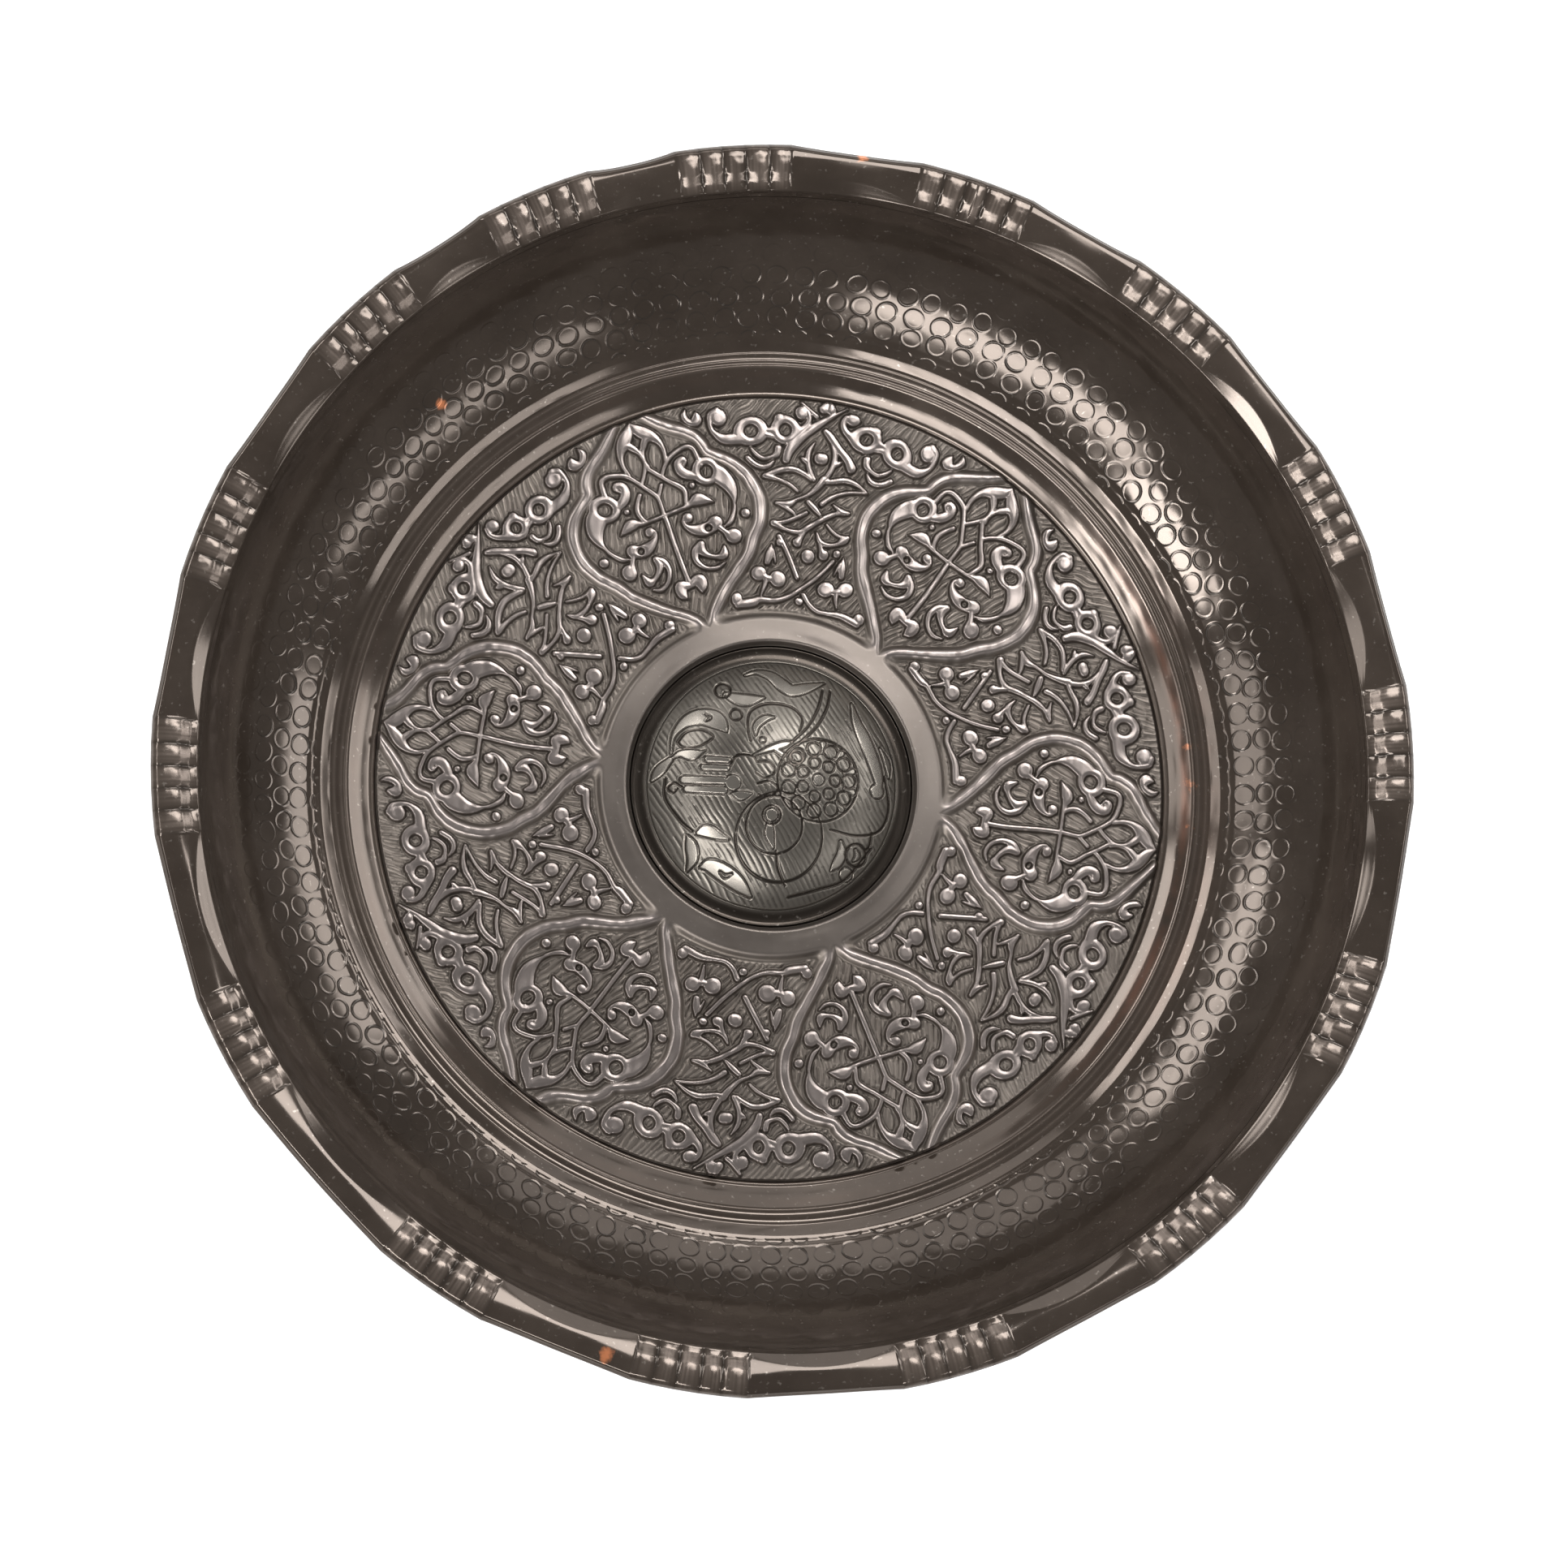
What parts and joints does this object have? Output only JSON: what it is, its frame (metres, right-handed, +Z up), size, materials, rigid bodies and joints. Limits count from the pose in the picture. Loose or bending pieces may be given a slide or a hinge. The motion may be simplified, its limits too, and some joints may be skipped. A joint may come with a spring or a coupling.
{
  "type": "dished round tray",
  "caption": "Round dished metal tray with a concave wall, a fluted rolled rim, an embossed floor of pointed leaves and a domed centre boss.",
  "frame": {"origin": "centre of the flat base, on the surface that the tray stands on", "axes": "+Z up along the tray's axis; +X and +Y in the plane of the base, +Y towards the top of the picture"},
  "size_m": [0.3002, 0.3001, 0.0377],
  "materials": {
    "dish_patina": "polished dark brown patina over copper, worn on the mouldings",
    "plate_patina": "antiqued: raised strokes rubbed bright, ground left dark",
    "boss_patina": "antiqued olive grey, fine engraved lines",
    "rim_wire": "plain drawn wire"
  },
  "bodies": {
    "root": {"dish_shell": "dish_patina", "rim_wire": "rim_wire", "embossed_plate": "plate_patina", "centre_boss": "boss_patina"}
  },
  "joints": []
}
